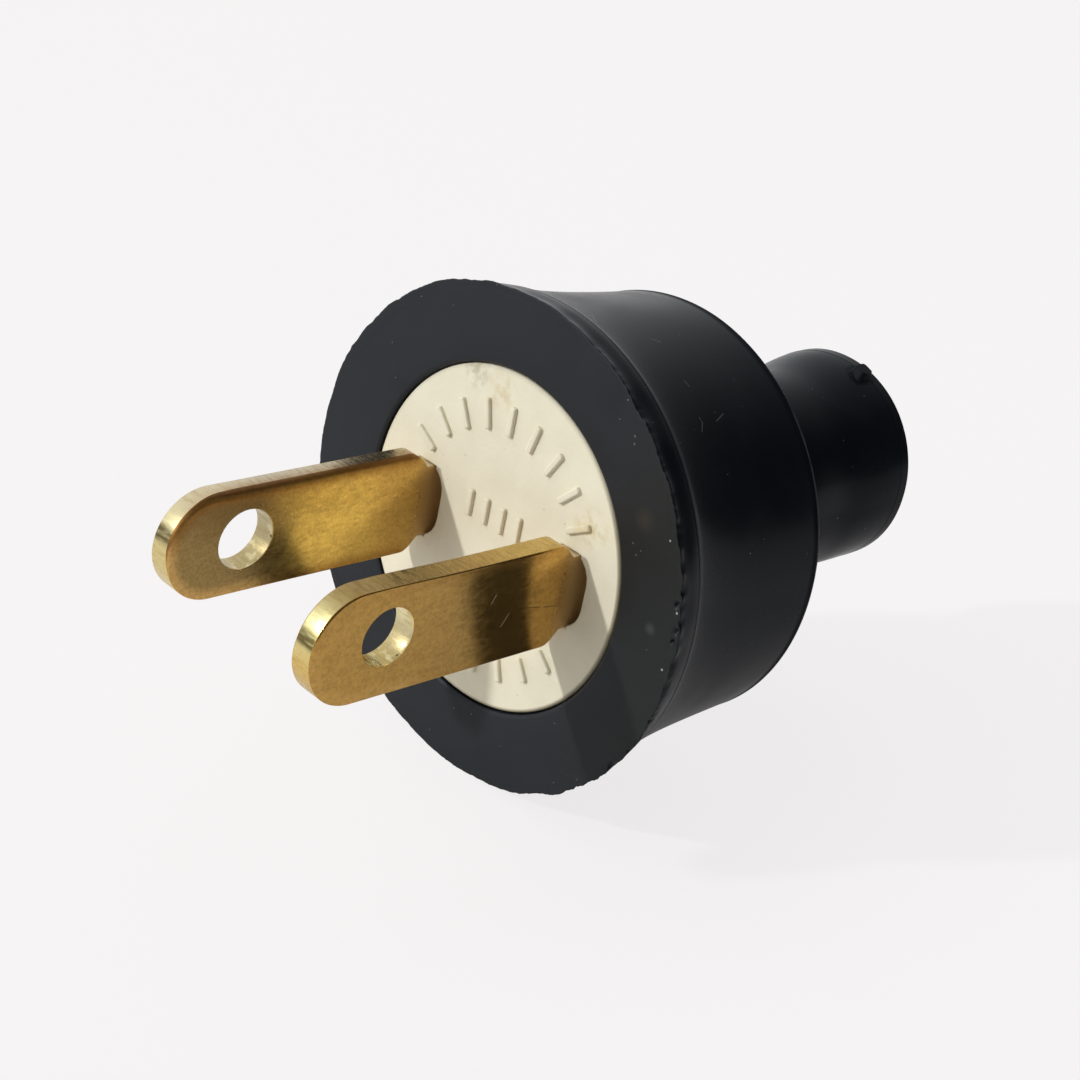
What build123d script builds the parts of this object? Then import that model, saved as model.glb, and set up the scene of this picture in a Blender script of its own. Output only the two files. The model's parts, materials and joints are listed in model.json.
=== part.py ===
"""Rewirable two-blade electric plug: a moulded rubber body that grips a round insert with two flat brass blades.

The origin is the centre of the insert's front face. The blades point to -Y, the cord tail to +Y,
and the blades' width runs along Z. All sizes are in millimetres.
"""

import os
from math import cos, radians, sin

from build123d import *

os.makedirs("parts", exist_ok=True)

# Blades
blade_spacing = 12.7
blade_width = 6.5
blade_thickness = 1.5
blade_reach = 19.3
blade_edge_chamfer = 0.12
lock_hole_diameter = 3.96
lock_hole_reach = 13.95
neck_width = 4.7
neck_stand_off = 0.5
shoulder_slope = 0.8
foot_bend_radius = 0.4
foot_end_gap = 0.6

# Terminal screws
screw_diameter = 3.0
screw_length = 4.0
screw_head_diameter = 5.0
screw_head_height = 1.8
screw_head_bevel = 0.5
screw_slot_width = 0.7
screw_slot_depth = 0.9
screw_to_barrier = 0.4

# Insert
insert_rim_width = 2.75
insert_flange_width = 1.3
insert_flange_thickness = 3.0
insert_face_bevel = 0.3
barrier_thickness = 1.0
barrier_rise = 3.7
barrier_end_gap = 2.4
slot_relief_gap = 0.75
slot_relief_depth = 1.8
slot_corner_radius = 0.4
screw_tip_room = 0.3

# Rubber body
front_lip_depth = 2.0
front_lip_proud = 0.15
front_lip_bevel = 0.3
flange_wall = 3.65
flange_taper = 0.5
parting_line_setback = 1.9
parting_step_height = 0.12
parting_step_width = 0.15
waist_hollow = 0.25
shoulder_wall = 2.95
shoulder_setback = 14.05
shoulder_flash_height = 0.12
shoulder_flash_width = 0.15
seat_ledge_width = 1.5
chamber_depth = 7.0
chamber_taper_length = 5.0
back_slope = 1.4
back_root_bevel = 1.0
cord_bore_diameter = 8.0
cord_bore_mouth_bevel = 0.6
tail_wall = 3.1
tail_flare = 0.25
tail_flare_length = 4.5
tail_lip_length = 1.8
tail_lip_bevel = 1.1
tail_lip_softening = 0.4
tail_reach = 32.8
nub_width = 1.2
nub_height = 0.6
nub_setback = 1.7
nub_angle = 73.0

# Clearances
slot_clearance = 0.05
seat_clearance = 0.05
thread_clearance = 0.05
screw_tip_clearance = 0.2

# Sizes that follow from those above
blade_centre = blade_spacing / 2
blade_inner = blade_centre - blade_thickness / 2
blade_outer = blade_centre + blade_thickness / 2
blade_tip_radius = blade_width / 2
neck_half = neck_width / 2
insert_radius = blade_outer + slot_relief_gap + insert_rim_width
insert_flange_radius = insert_radius + insert_flange_width
insert_back = front_lip_depth + insert_flange_thickness
foot_back = insert_back + blade_thickness
foot_end = barrier_thickness / 2 + foot_end_gap
screw_centre = barrier_thickness / 2 + screw_to_barrier + screw_head_diameter / 2
screw_tip = foot_back - screw_length
opening_radius = insert_radius + seat_clearance
seat_radius = insert_flange_radius + seat_clearance
flange_radius = seat_radius + flange_wall
parting_radius = flange_radius - flange_taper
chamber_radius = seat_radius - seat_ledge_width
chamber_back = insert_back + chamber_depth
shoulder_radius = chamber_radius + shoulder_wall
back_root = shoulder_setback + shoulder_flash_width + back_slope
bore_radius = cord_bore_diameter / 2
bore_start = chamber_back + chamber_taper_length
neck_radius = bore_radius + tail_wall
lip_radius = neck_radius + tail_flare
lip_start = tail_reach - tail_lip_length - tail_lip_bevel
flare_start = lip_start - tail_flare_length


def facing_back(y):
    """Plane square to the plug's axis at y, with its normal towards the tail."""
    return Plane(origin=(0, y, 0), x_dir=(1, 0, 0), z_dir=(0, 1, 0))


# Rubber body: one moulded shell, hollow for the insert, the wiring chamber and the cord
with BuildPart() as rubber_body:
    with BuildSketch(Plane.XY) as shell_profile:
        with BuildLine():
            front = Polyline(
                (opening_radius, -front_lip_proud),
                (flange_radius, -front_lip_proud),
                (parting_radius, parting_line_setback - parting_step_width),
                (parting_radius + parting_step_height, parting_line_setback),
            )
            waist_middle = ((front @ 1) + Vector(shoulder_radius, shoulder_setback)) / 2
            waist = Bezier(
                front @ 1,
                waist_middle - Vector(2 * waist_hollow, 0),
                (shoulder_radius, shoulder_setback),
            )
            Polyline(
                waist @ 1,
                (shoulder_radius + shoulder_flash_height, shoulder_setback + shoulder_flash_width),
                (neck_radius, back_root),
                (neck_radius, flare_start),
                (lip_radius, lip_start),
                (lip_radius, tail_reach),
                (bore_radius, tail_reach),
                (bore_radius, bore_start),
                (chamber_radius, chamber_back),
                (chamber_radius, insert_back),
                (seat_radius, insert_back),
                (seat_radius, front_lip_depth),
                (opening_radius, front_lip_depth),
                (opening_radius, -front_lip_proud),
            )
        make_face()
        bevels = (
            ((opening_radius, -front_lip_proud), front_lip_bevel),
            ((neck_radius, back_root), back_root_bevel),
            ((lip_radius, tail_reach), tail_lip_bevel),
            ((lip_radius, tail_reach - tail_lip_bevel), tail_lip_softening),
            ((bore_radius, tail_reach), cord_bore_mouth_bevel),
        )
        for corner, length in bevels:
            chamfer(shell_profile.vertices().sort_by_distance((*corner, 0))[0], length=length)
    revolve(axis=Axis.Y)
    # Pip left by the mould's vent on the tail's lip
    nub_direction = Vector(cos(radians(nub_angle)), 0, sin(radians(nub_angle)))
    nub_root = nub_direction * (lip_radius - nub_height) + Vector(0, tail_reach - nub_setback, 0)
    with BuildSketch(Plane(origin=nub_root, x_dir=(0, 1, 0), z_dir=nub_direction)):
        Rectangle(nub_width, nub_width)
    extrude(amount=2 * nub_height)

rubber_body.part.label = "rubber_body"
export_step(rubber_body.part, "parts/rubber_body.step")

# Insert: moulded disc with two blade slots, a retaining flange and a wall between the terminals
with BuildPart() as insert:
    with BuildSketch(facing_back(0)):
        Circle(insert_radius)
    extrude(amount=front_lip_depth)
    chamfer(insert.edges().group_by(Axis.Y)[0], length=insert_face_bevel)
    with BuildSketch(facing_back(front_lip_depth)):
        Circle(insert_flange_radius)
    extrude(amount=insert_flange_thickness)
    with BuildSketch(facing_back(insert_back)):
        Rectangle(barrier_thickness, 2 * (chamber_radius - barrier_end_gap))
    extrude(amount=barrier_rise)
    # Wide relief at the front of each slot, then a close slot for the blade's neck
    slot_height = neck_width + 2 * slot_clearance
    with BuildSketch(facing_back(0)):
        with GridLocations(blade_spacing, 0, 2, 1):
            RectangleRounded(blade_thickness + 2 * slot_relief_gap, slot_height, slot_corner_radius)
    extrude(amount=slot_relief_depth, mode=Mode.SUBTRACT)
    with BuildSketch(facing_back(0)):
        with GridLocations(blade_spacing, 0, 2, 1):
            Rectangle(blade_thickness + 2 * slot_clearance, slot_height)
    extrude(amount=insert_back, mode=Mode.SUBTRACT)
    # Room for the bend of each blade's foot at the slot's inner rear edge
    for side in (-1, 1):
        slot_wall = side * (blade_inner - slot_clearance)
        with BuildSketch(Plane.XY):
            with BuildLine():
                Polyline(
                    (slot_wall, insert_back),
                    (slot_wall - side * foot_bend_radius, insert_back),
                    (slot_wall, insert_back - foot_bend_radius - slot_clearance),
                    close=True,
                )
            make_face()
        extrude(amount=slot_height / 2, both=True, mode=Mode.SUBTRACT)
    # Blind holes that clear the tips of the terminal screws
    with BuildSketch(facing_back(insert_back)):
        with GridLocations(2 * screw_centre, 0, 2, 1):
            Circle(screw_diameter / 2 + screw_tip_clearance)
    extrude(amount=screw_tip - screw_tip_room - insert_back, mode=Mode.SUBTRACT)

insert.part.label = "insert"
export_step(insert.part, "parts/insert.step")

# Blades: stamped brass, the foot bent over behind the insert
for name, side in (("blade_left", -1), ("blade_right", 1)):
    with BuildPart() as blade:
        shoulder_end = -neck_stand_off - shoulder_slope
        with BuildSketch(Plane.YZ.offset(side * blade_centre)):
            with BuildLine():
                lower = Polyline(
                    (-neck_stand_off, neck_half),
                    (shoulder_end, blade_width / 2),
                    (blade_tip_radius - blade_reach, blade_width / 2),
                )
                tip = ThreePointArc(lower @ 1, (-blade_reach, 0), (blade_tip_radius - blade_reach, -blade_width / 2))
                Polyline(
                    tip @ 1,
                    (shoulder_end, -blade_width / 2),
                    (-neck_stand_off, -neck_half),
                    (-neck_stand_off, neck_half),
                )
            make_face()
        extrude(amount=blade_thickness / 2, both=True)
        outline_edges = blade.edges().filter_by(Axis.X, reverse=True).sort_by(Axis.Y)
        chamfer(outline_edges[:-2], length=blade_edge_chamfer)
        # Punched hole near the tip, with sharp rims
        with BuildSketch(Plane.YZ.offset(side * blade_centre)):
            with Locations((-lock_hole_reach, 0)):
                Circle(lock_hole_diameter / 2)
        extrude(amount=blade_thickness / 2, both=True, mode=Mode.SUBTRACT)
        # Neck through the insert and foot along its back
        with BuildSketch(Plane.XY):
            with BuildLine():
                bend_outer = foot_bend_radius + blade_thickness
                neck_inner = Line(
                    (side * blade_inner, -neck_stand_off),
                    (side * blade_inner, insert_back - foot_bend_radius),
                )
                inner_bend = RadiusArc(
                    neck_inner @ 1,
                    (side * (blade_inner - foot_bend_radius), insert_back),
                    -side * foot_bend_radius,
                )
                foot = Polyline(
                    inner_bend @ 1,
                    (side * foot_end, insert_back),
                    (side * foot_end, foot_back),
                    (side * (blade_inner - foot_bend_radius), foot_back),
                )
                outer_bend = RadiusArc(
                    foot @ 1,
                    (side * blade_outer, insert_back - foot_bend_radius),
                    side * bend_outer,
                )
                Polyline(
                    outer_bend @ 1,
                    (side * blade_outer, -neck_stand_off),
                    neck_inner @ 0,
                )
            make_face()
        extrude(amount=neck_half, both=True)
        # Tapped hole for the terminal screw
        with BuildSketch(facing_back(insert_back)):
            with Locations((side * screw_centre, 0)):
                Circle(screw_diameter / 2)
        extrude(amount=blade_thickness, mode=Mode.SUBTRACT)
    blade.part.label = name
    export_step(blade.part, f"parts/{name}.step")

# Terminal screws: slotted round heads seated on the blades' feet
for name, side in (("terminal_screw_left", -1), ("terminal_screw_right", 1)):
    with BuildPart() as screw:
        head_back = foot_back + screw_head_height
        with BuildSketch(facing_back(foot_back)):
            with Locations((side * screw_centre, 0)):
                Circle(screw_head_diameter / 2)
        extrude(amount=screw_head_height)
        chamfer(screw.edges().group_by(Axis.Y)[-1], length=screw_head_bevel)
        with BuildSketch(facing_back(screw_tip)):
            with Locations((side * screw_centre, 0)):
                Circle(screw_diameter / 2 - thread_clearance)
        extrude(amount=screw_length)
        with BuildSketch(facing_back(head_back - screw_slot_depth)):
            with Locations((side * screw_centre, 0)):
                Rectangle(screw_slot_width, screw_head_diameter)
        extrude(amount=screw_slot_depth, mode=Mode.SUBTRACT)
    screw.part.label = name
    export_step(screw.part, f"parts/{name}.step")
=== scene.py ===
"""Looks of the rewirable plug: rubber body, cream insert, brass blades and terminal screws.

Everything is built in the part's own frame: the blades point to -Y, the cord tail to +Y, and +Z is up.
Shapes are worked out in millimetres, and become metres when their meshes are made.
"""

import json
from math import atan2, ceil, cos, exp, pi, radians, sin, tan

import bmesh
import bpy
from mathutils import Matrix, Vector, noise


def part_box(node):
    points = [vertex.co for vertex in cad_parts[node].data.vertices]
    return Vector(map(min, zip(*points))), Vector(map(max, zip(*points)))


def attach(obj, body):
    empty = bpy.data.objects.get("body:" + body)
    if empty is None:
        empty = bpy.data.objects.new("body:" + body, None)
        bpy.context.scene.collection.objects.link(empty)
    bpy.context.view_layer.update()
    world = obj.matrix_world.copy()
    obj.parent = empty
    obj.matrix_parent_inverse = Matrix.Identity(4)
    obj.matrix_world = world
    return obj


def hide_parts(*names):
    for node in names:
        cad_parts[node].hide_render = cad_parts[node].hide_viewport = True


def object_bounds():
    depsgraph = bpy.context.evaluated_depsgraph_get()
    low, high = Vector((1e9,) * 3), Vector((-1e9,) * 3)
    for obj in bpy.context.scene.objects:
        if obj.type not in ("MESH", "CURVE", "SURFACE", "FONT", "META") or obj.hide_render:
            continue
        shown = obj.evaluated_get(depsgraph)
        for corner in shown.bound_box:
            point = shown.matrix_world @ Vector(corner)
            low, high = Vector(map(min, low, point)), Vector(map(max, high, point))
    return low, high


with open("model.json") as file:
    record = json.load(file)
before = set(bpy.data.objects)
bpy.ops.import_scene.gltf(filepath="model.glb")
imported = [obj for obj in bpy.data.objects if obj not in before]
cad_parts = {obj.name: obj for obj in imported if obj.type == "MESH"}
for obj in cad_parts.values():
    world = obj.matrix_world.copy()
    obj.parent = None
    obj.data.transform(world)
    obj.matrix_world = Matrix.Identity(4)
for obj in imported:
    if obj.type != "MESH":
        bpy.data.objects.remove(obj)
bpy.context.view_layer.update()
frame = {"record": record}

MM = 0.001


def span(node):
    """Lowest and highest corner of a node, in millimetres."""
    low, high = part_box(node)
    return low / MM, high / MM


# Sizes that the frame gives
mounts = {mount["name"]: mount for mount in frame["record"]["mounts"]}
body_low, body_high = span("rubber_body")
insert_high = span("insert")[1]
blade_low, blade_high = span("blade_right")
screw_low, screw_high = span("terminal_screw_right")
blade_centre = mounts["blades"]["dims"]["spacing_x_mm"] / 2
blade_thickness = 2 * (blade_high.x - blade_centre)
blade_inner = blade_high.x - blade_thickness
blade_half_width = blade_high.z
blade_tip_centre = blade_low.y + blade_half_width
lock_hole_radius = mounts["lock_hole_right"]["dims"]["r_mm"]
lock_hole_y = mounts["lock_hole_right"]["pos_m"][1] / MM
bore_radius = mounts["cord_entry"]["dims"]["r_mm"]
insert_back = blade_high.y - blade_thickness
screw_centre = (screw_low.x + screw_high.x) / 2
screw_head_radius = (screw_high.x - screw_low.x) / 2

# Rubber body
opening_radius = 10.65
opening_round = 0.35
front_lip_depth = 2.0
flange_radius = 15.6
flange_edge_round = 0.06
parting_y = 1.9
parting_radius = 14.94
parting_step = 0.02
parting_flash_height = 0.03
parting_flash_width = 0.05
waist_pull = (13.98, 5.0)
shoulder_y = 14.15
shoulder_radius = 13.62
shoulder_flash_height = 0.03
shoulder_flash_width = 0.06
shoulder_fall = 0.35
back_root_y = 15.6
back_root_round = 1.4
neck_radius = 6.85
flare_start = 26.5
flare_round = 25.0
lip_start = 31.0
lip_radius = 7.31
lip_round = 1.3
bore_mouth_round = 0.5
bore_start = 17.0
chamber_back = 12.0
chamber_radius = 10.45
chamber_round = 0.6
seat_radius = 11.95
thinnest_wall = 1.0
pip_angle = radians(73)
pip_setback = 1.7
pip_base_width = 1.35
pip_end_width = 0.95
pip_height = 0.5
pip_sink = 0.6
pip_lean = 0.2

# The trimmed edge of the flange: slow waves of its radius (cosine and sine shares of each order),
# torn teeth, a notch and small pits. Ripples are height, frequency and seed, and fades are the
# places along the axis between which each fault dies away.
edge_start = 14.2
flange_waves = ((-0.23, -0.05), (0.14, -0.11), (-0.07, 0.0))
flange_ripple = (0.13, 7, 3.1)
wave_fade = (0.2, parting_y)
tooth_setback = 0.8
tooth_depth = 0.09
tooth_depth_right = 0.26
broad_teeth = (1.0, 16, 8.4)
fine_teeth = (0.8, 43, 1.9)
tooth_level = 0.3
tooth_fade = (-0.1, 0.35)
notch_angle = radians(-33.4)
notch_half_width = 0.35
notch_depth = 0.25
pit_fade = (-0.1, 0.4)
edge_pits = (
    # x, z, half width and depth
    (14.74, 3.02, 0.17, 0.30),
    (15.12, 1.52, 0.20, 0.30),
    (15.00, 0.85, 0.14, 0.25),
)

# The rest of the skin: how uneven it is, how often round and along the axis, and how its lines wander
skin_height = 0.03
skin_frequencies = (2.2, 0.14)
wander_ripple = (0.04, 3, 5.7)

# The moulded body isn't quite straight: which way its centre line leaves the axis, and (y, offset)
# places of it
sway_direction = (-0.58, 0.82)
sway_places = ((0.3, 0.0), (1.9, 0.10), (14.2, -0.11), (27.0, 0.10), (32.0, 0.43))

# Runs between points of the body's wall: short at the trimmed edge, long inside
torn_end = 0.3
torn_spacing = 0.11
trimmed_spacing = 0.25
skin_spacing = 0.9
inner_spacing = 2.5

# Insert
insert_radius = 10.6
insert_face_round = 0.18
slot_relief_gap = 0.88
slot_relief_depth = 1.8
slot_half_height = 2.4
slot_relief_round = 1.6
slot_clearance = 0.05
barrier_thickness = 1.0
barrier_height = 16.1
screw_tip_hole_radius = 1.7
screw_tip_hole_depth = 2.8
insert_edge_bevel = 0.1

# Plain raised bars on the insert's face: arcs with the first and last angle in degrees, the radius
# and the bars' length, and a row between the blades
tick_rise = 0.26
tick_root = 0.3
tick_width = 0.42
tick_arcs = ((30, 150, 7.7, 1.9), (-130, -40, 8.0, 1.5))
tick_arc_step = 15
tick_row_count = 4
tick_row_start = -2.1
tick_row_spacing = 1.4
tick_row_height = 1.6
tick_row_length = 1.7

# Blades: the punch rolled the upper edge of the left blade's inner face over, and left the other
# edges nearly sharp. Rolls are width and depth, and the shares say how much of them a place has.
neck_half_width = 2.35
neck_y = -0.5
shoulder_slope = 0.8
shoulder_round = 0.5
shoulder_round_end = 0.4
blade_shoulder_y = neck_y - shoulder_slope
shoulder_margin = 0.01
foot_bend_radius = 0.4
near_rolls = {"left": (0.5, 0.55), "right": (0.12, 0.08)}
far_roll = (0.10, 0.07)
tip_roll_shares = {"left": 0.5, "right": 1.6}
low_roll_share = 0.15
neck_roll_share = 0.25
hole_roll_share = 0.08
roll_fade_y = (blade_low.y + 0.5, blade_tip_centre + 1.5)
roll_fade_z = (-1.5, 1.0)

# The upper edge's swell near the tip, and how far the punched holes sit off along y and z and in radius
edge_swell = {"left": 0.0, "right": 0.17}
swell_y = -15.0
swell_reach = 4.5
hole_faults = {"left": (0.0, 0.12, -0.08), "right": (-0.10, 0.34, -0.19)}

# How far solids that cut or join others reach past their faces
past = 0.5

# Terminal screws
screw_radius = 1.45
thread_pitch = 0.5
thread_depth = 0.24
screw_head_bevel = 0.5
screw_slot_width = 0.7
screw_slot_depth = 0.9


def mix(first, second, share):
    return first + (second - first) * share


def smooth(low, high, value):
    """0 below low and 1 above high, with an even slope at both."""
    share = min(max((value - low) / (high - low), 0.0), 1.0)
    return share * share * (3 - 2 * share)


def ripple(angle, height, frequency, seed):
    """Random value of up to a height either way that runs round the plug without a seam."""
    return height * noise.noise(Vector((cos(angle) * frequency, sin(angle) * frequency, seed)))


def rounded(corners, steps=5):
    """Closed outline through (a, b, radius) corners, each rounded by an arc of its radius."""
    outline = []
    for index, (a, b, radius) in enumerate(corners):
        corner = Vector((a, b))
        if radius == 0:
            outline.append(corner)
            continue
        before = (Vector(corners[index - 1][:2]) - corner).normalized()
        after = (Vector(corners[(index + 1) % len(corners)][:2]) - corner).normalized()
        half = before.angle(after) / 2
        centre = corner + (before + after).normalized() * radius / sin(half)
        start = corner + before * radius / tan(half) - centre
        end = corner + after * radius / tan(half) - centre
        first = atan2(start.y, start.x)
        sweep = atan2(start.cross(end), start.dot(end))
        for step in range(steps + 1):
            angle = first + sweep * step / steps
            outline.append(centre + Vector((cos(angle), sin(angle))) * radius)
    return outline


def quarter_turn(steps):
    """Angles from 0 to a right angle in even steps."""
    return [pi / 2 * step / steps for step in range(steps + 1)]


def circle(centre, radius, count, height=0.0):
    """Round outline about a point at a height above the first axis."""
    turns = [2 * pi * step / count for step in range(count)]
    return [Vector((centre + radius * cos(turn), height + radius * sin(turn))) for turn in turns]


def rectangle(centre, half_width, half_height, radius=0.0):
    """Upright rectangle about a point on the first axis."""
    low, high = centre - half_width, centre + half_width
    corners = ((low, -half_height), (high, -half_height), (high, half_height), (low, half_height))
    return rounded([(a, b, radius) for a, b in corners])


def band(mesh, near, far, material_index=0):
    """Quads between two closed rings of vertices."""
    for index in range(len(near)):
        face = mesh.faces.new((near[index - 1], near[index], far[index], far[index - 1]))
        face.material_index = material_index


def lofted(rings):
    """Closed solid through rings of points, with flat ends."""
    mesh = bmesh.new()
    made = [[mesh.verts.new(point) for point in ring] for ring in rings]
    for near, far in zip(made, made[1:]):
        band(mesh, near, far)
    mesh.faces.new(made[0])
    mesh.faces.new(made[-1])
    bmesh.ops.recalc_face_normals(mesh, faces=mesh.faces)
    return mesh


def turned(rows, segments):
    """Closed solid with (radius, y) rows turned about the plug's axis and flat ends."""
    return lofted([[(x, y, z) for x, z in circle(0, radius, segments)] for radius, y in rows])


def prism(outline, low, high):
    """Solid of an (x, z) outline between two places on the plug's axis."""
    return lofted([[(x, y, z) for x, z in outline] for y in (low, high)])


def mesh_data(name, mesh):
    """Blender's own mesh of a finished solid."""
    data = bpy.data.meshes.new(name)
    mesh.to_mesh(data)
    mesh.free()
    return data


def new_object(name, data):
    made = bpy.data.objects.new(name, data)
    bpy.context.scene.collection.objects.link(made)
    return made


def combined(first, second, operation, solver="EXACT"):
    """The first solid joined with the second one, or cut by it."""
    holders = [new_object("part", mesh_data("part", mesh)) for mesh in (first, second)]
    modifier = holders[0].modifiers.new("combine", "BOOLEAN")
    modifier.object = holders[1]
    modifier.operation = operation
    modifier.solver = solver
    evaluated = holders[0].evaluated_get(bpy.context.evaluated_depsgraph_get())
    result = bmesh.new()
    result.from_mesh(evaluated.data)
    for holder in holders:
        data = holder.data
        bpy.data.objects.remove(holder)
        bpy.data.meshes.remove(data)
    return result


def piece(name, mesh, materials, node, sharp_angle=40):
    """Finished object for a solid worked out in millimetres, in place of a node of the frame."""
    bmesh.ops.scale(mesh, verts=mesh.verts, vec=(MM, MM, MM))
    data = mesh_data(name, mesh)
    data.shade_smooth()
    data.set_sharp_from_angle(angle=radians(sharp_angle))
    for material in materials:
        data.materials.append(material)
    made = new_object(name, data)
    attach(made, "root")
    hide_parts(node)
    return made


def keep_faces_flat(made):
    """Gives wide faces their own normals, so that only the edges between them look round."""
    modifier = made.modifiers.new("normals", "WEIGHTED_NORMAL")
    modifier.keep_sharp = True


# Rubber body

def inside_radius(y):
    """Radius of the body's hollow at a place along the axis."""
    if y < insert_back:
        return seat_radius
    share = (y - chamber_back) / (bore_start - chamber_back)
    return mix(chamber_radius, bore_radius, min(max(share, 0.0), 1.0))


def is_outside(radius, y):
    """Whether a point of the body's wall is on its outer skin."""
    return radius > inside_radius(y) + thinnest_wall


def shell_spacing(radius, y):
    """Longest run between points of the wall's outline."""
    if radius > edge_start and y < parting_y:
        return torn_spacing if y < torn_end else trimmed_spacing
    return skin_spacing if is_outside(radius, y) else inner_spacing


def shell_outline():
    """Closed section of the body's wall as (radius, y) points, outside to the tail and back inside."""
    front, tail = body_low.y, body_high.y
    waist_start = Vector((parting_radius, parting_y + parting_flash_width))
    waist_end = Vector((shoulder_radius, shoulder_y - shoulder_flash_width))
    waist = []
    waist_steps = 16
    for step in range(waist_steps + 1):
        share = step / waist_steps
        before = waist_start.lerp(Vector(waist_pull), share)
        after = Vector(waist_pull).lerp(waist_end, share)
        waist.append((*before.lerp(after, share), 0))
    corners = [
        (opening_radius, front, opening_round),
        (edge_start, front, 0),
        (flange_radius, front, flange_edge_round),
        (parting_radius + parting_step, parting_y - parting_flash_width, 0),
        (parting_radius + parting_flash_height, parting_y, 0),
        *waist,
        (shoulder_radius + shoulder_flash_height, shoulder_y - shoulder_flash_width / 2, 0),
        (shoulder_radius + shoulder_flash_height / 2, shoulder_y, 0),
        (shoulder_radius - shoulder_fall, shoulder_y + shoulder_fall, 0),
        (neck_radius, back_root_y, back_root_round),
        (neck_radius, flare_start, flare_round),
        (lip_radius, lip_start, flare_round),
        (lip_radius, tail, lip_round),
        (bore_radius, tail, bore_mouth_round),
        (bore_radius, bore_start, chamber_round),
        (chamber_radius, chamber_back, chamber_round),
        (chamber_radius, insert_back, 0),
        (seat_radius, insert_back, 0),
        (seat_radius, front_lip_depth, 0),
        (opening_radius, front_lip_depth, 0),
    ]
    outline = rounded(corners)
    points = []
    for here, following in zip(outline, outline[1:] + outline[:1]):
        pieces = ceil((following - here).length / shell_spacing(*here.lerp(following, 0.5)))
        points += [here.lerp(following, share / pieces) for share in range(pieces)]
    return points


def flange_shift(angle):
    """How far the flange's trimmed edge stands out from a true circle."""
    shift = ripple(angle, *flange_ripple)
    for order, (along_x, along_z) in enumerate(flange_waves, start=1):
        shift += along_x * cos(order * angle) + along_z * sin(order * angle)
    return shift


def torn(angle):
    """How far the teeth and the notch of the trimmed edge go in, deepest on the right."""
    depth = mix(tooth_depth, tooth_depth_right, smooth(0.3, 0.9, cos(angle)))
    teeth = abs(ripple(angle, *broad_teeth)) + abs(ripple(angle, *fine_teeth)) - tooth_level
    turn = (angle - notch_angle + pi) % (2 * pi) - pi
    return depth * teeth + notch_depth * exp(-((turn * flange_radius / notch_half_width) ** 2))


def sway(y):
    """Offset of the body's centre line at a place along the axis."""
    offset = 0
    for (start, before), (end, after) in zip(sway_places, sway_places[1:]):
        offset += (after - before) * smooth(start, end, y)
    return offset


def shell_point(radius, y, angle):
    """Place of a point of the body's wall, with the mould's and the trimming's faults."""
    offset = sway(y)
    moved = radius
    along = y
    if is_outside(radius, y):
        trimmed = smooth(edge_start, flange_radius, radius) * (1 - smooth(*wave_fade, y))
        toothed = smooth(edge_start + tooth_setback, flange_radius, radius) * (1 - smooth(*tooth_fade, y))
        moved += trimmed * flange_shift(angle) - toothed * torn(angle)
        if toothed:
            for x, z, half_width, depth in edge_pits:
                away_squared = (moved * cos(angle) - x) ** 2 + (moved * sin(angle) - z) ** 2
                along += depth * exp(-away_squared / half_width ** 2) * (1 - smooth(*pit_fade, y))
        else:
            often, slowly = skin_frequencies
            sample = Vector((cos(angle) * often, y * slowly, sin(angle) * often))
            moved += skin_height * noise.noise(sample)
            along += ripple(angle, *wander_ripple)
    else:
        offset *= smooth(chamber_back, flare_start, y)
    across, up = sway_direction
    return moved * cos(angle) + offset * across, along, moved * sin(angle) + offset * up


def pip_root():
    """Where the vent pip stands on the tail's lip."""
    return Vector(shell_point(lip_radius, body_high.y - pip_setback, pip_angle))


def vent_pip():
    """Square stub that the mould's vent left on the tail's lip, narrower at its torn end."""
    outward = Vector((cos(pip_angle), 0, sin(pip_angle)))
    around = Vector((-sin(pip_angle), 0, cos(pip_angle)))
    root = pip_root()
    waist_width = mix(pip_base_width, pip_end_width, 0.7)
    heights = (-pip_sink, -0.1, 0.3 * pip_height, pip_height)
    widths = (1.1 * pip_base_width, pip_base_width, waist_width, pip_end_width)
    rings = []
    for height, width in zip(heights, widths):
        middle = root + outward * height + Vector((0, pip_lean * max(height, 0), 0))
        outline = rectangle(0, width / 2, width / 2, 0.25 * width)
        ring = []
        for a, b in outline:
            ring.append(middle + Vector((0, a, 0)) + around * b + outward * 0.1 * a * b)
        rings.append(ring)
    return lofted(rings)


def build_body(barrel, front):
    """Hollow rubber body with its vent pip, and a material of its own on the flange's front face."""
    segments = 640
    outline = shell_outline()
    mesh = bmesh.new()
    rings = []
    for step in range(segments):
        angle = 2 * pi * step / segments
        rings.append([mesh.verts.new(shell_point(radius, y, angle)) for radius, y in outline])
    for here, following in zip(rings, rings[1:] + rings[:1]):
        band(mesh, here, following)
    bmesh.ops.recalc_face_normals(mesh, faces=mesh.faces)
    mesh = combined(mesh, vent_pip(), "UNION", "MANIFOLD")
    mesh.normal_update()
    for face in mesh.faces:
        looks_forward = face.normal.y < -0.5
        face.material_index = int(looks_forward and face.calc_center_median().y < front_lip_depth / 2)
    return piece("rubber_shell", mesh, [barrel, front], "rubber_body", sharp_angle=50)


# Insert

def tick(x, z, turn, length):
    """Plain raised bar on the insert's face."""
    mesh = prism(rectangle(0, tick_width / 2, length / 2, tick_width / 3), -tick_rise, tick_root)
    matrix = Matrix.Translation((x, 0, z)) @ Matrix.Rotation(turn, 4, "Y")
    bmesh.ops.transform(mesh, matrix=matrix, verts=mesh.verts)
    return mesh


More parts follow.
